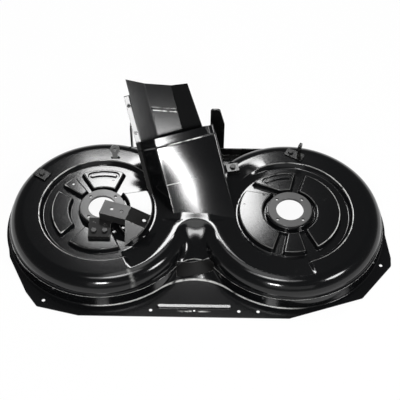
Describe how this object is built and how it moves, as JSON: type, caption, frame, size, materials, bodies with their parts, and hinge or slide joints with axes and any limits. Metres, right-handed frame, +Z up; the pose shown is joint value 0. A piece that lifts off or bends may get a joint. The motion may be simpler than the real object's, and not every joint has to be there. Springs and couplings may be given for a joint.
{
  "type": "lawn mower deck",
  "caption": "Bare twin-chamber mower cutting deck pressed from sheet steel, with a wide flange, spindle rings, brackets and a rising rear discharge duct.",
  "frame": {"origin": "on the underside of the flange, halfway between the two spindle axes", "axes": "+X from the left chamber to the right one as seen from the front, +Y towards the rear duct, +Z up"},
  "size_m": [1.0451, 0.5835, 0.2866],
  "materials": {
    "deck_paint": "gloss black paint",
    "fastener": "black painted bolt heads"
  },
  "bodies": {
    "root": {"chute_cover_lower": "deck_paint", "chute_cover_upper": "deck_paint", "chute_right_wall": "deck_paint", "chute_stop_block": "deck_paint", "chute_trough": "deck_paint", "deck_shell": "deck_paint", "foot_plate_bolts": "fastener", "left_arm": "deck_paint", "left_bridge_plate": "deck_paint", "left_eye_lug": "deck_paint", "left_foot_plate": "deck_paint", "left_gusset": "deck_paint", "left_rear_hanger": "deck_paint", "left_rim_bracket": "deck_paint", "left_spindle_ring": "deck_paint", "lug_base_bolt": "fastener", "rear_cross_strip": "deck_paint", "right_eye_lug": "deck_paint", "right_lug_base": "deck_paint", "right_rear_hanger": "deck_paint", "right_spindle_ring": "deck_paint", "rim_bracket_bolt": "fastener", "stop_block_bolt": "fastener", "valley_patch": "deck_paint"}
  },
  "joints": []
}
